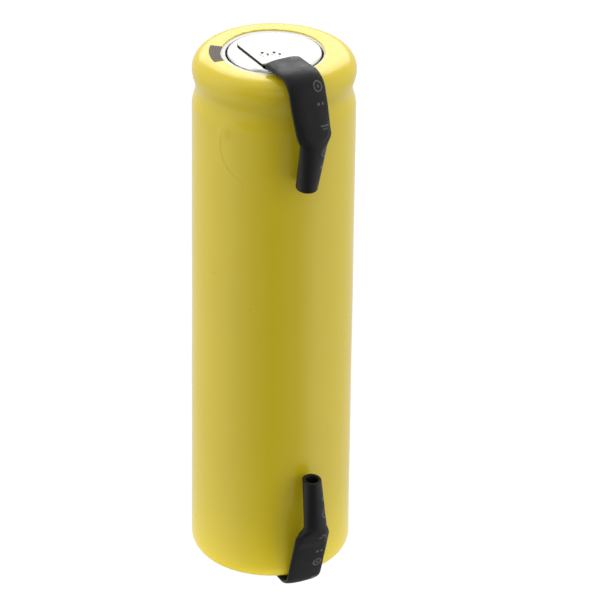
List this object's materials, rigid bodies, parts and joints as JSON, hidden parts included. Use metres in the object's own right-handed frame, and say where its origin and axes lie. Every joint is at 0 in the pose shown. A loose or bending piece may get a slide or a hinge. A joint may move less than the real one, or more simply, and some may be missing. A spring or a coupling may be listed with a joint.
{
  "type": "cylindrical battery cell",
  "caption": "Cylindrical rechargeable cell in a glossy yellow shrink sleeve, with a nickel solder tag on each end bent back along the can inside black insulating tube.",
  "frame": {"origin": "on the cell's axis, at the outer face of the negative tag's welded pad", "axes": "+Z along the cell's axis towards the positive terminal; both tags leave the cell towards -Y"},
  "size_m": [0.0142, 0.017, 0.0512],
  "materials": {
    "sleeve_film": "glossy heat-shrunk film, yellow",
    "drawn_steel": "nickel-plated drawn steel",
    "cap_steel": "bright nickel-plated steel",
    "washer_card": "matt white insulating card",
    "gasket_nylon": "natural nylon",
    "seal_rubber": "black rubber",
    "spring_wire": "spring steel wire",
    "nickel_strip": "rolled nickel strip",
    "insulator_card": "insulating board",
    "positive_mass": "porous sintered plate, dark",
    "negative_mass": "coated plate, dark grey",
    "separator_felt": "white non-woven felt",
    "shrink_tube": "black heat-shrink tubing, satin"
  },
  "bodies": {
    "cell": {"outer_sleeve": "sleeve_film", "steel_can": "drawn_steel", "top_washer": "washer_card", "positive_cap": "cap_steel", "cover_plate": "drawn_steel", "sealing_gasket": "gasket_nylon", "vent_spring": "spring_wire", "positive_lead": "nickel_strip", "positive_collector": "nickel_strip", "negative_collector": "nickel_strip", "upper_insulator": "insulator_card", "positive_electrode": "positive_mass", "negative_electrode": "negative_mass", "inner_separator": "separator_felt", "outer_separator": "separator_felt", "positive_tag": "nickel_strip", "negative_tag": "nickel_strip"},
    "vent_valve": {"vent_seal": "seal_rubber", "vent_plate": "drawn_steel"},
    "positive_lug": {"positive_tag_arm": "nickel_strip", "positive_tube": "shrink_tube"},
    "negative_lug": {"negative_tag_arm": "nickel_strip", "negative_tube": "shrink_tube"}
  },
  "joints": [
    {"name": "positive_tag_bend", "type": "hinge", "parent": "cell", "child": "positive_lug", "pos_m": [-0.00112, -0.00172, 0.0494], "axis": [-0.9997, 0.0262, 0], "range_deg": [0, 90]},
    {"name": "negative_tag_bend", "type": "hinge", "parent": "cell", "child": "negative_lug", "pos_m": [-0.00012, -0.00262, 0], "axis": [0.9971, -0.0767, 0], "range_deg": [0, 90]},
    {"name": "vent_lift", "type": "slide", "parent": "cell", "child": "vent_valve", "axis": [0, 0, 1], "range_m": [0, 0.0004], "stiffness_N_per_m": 3000, "springref_m": -0.00076, "deforming": ["vent_spring"]}
  ]
}
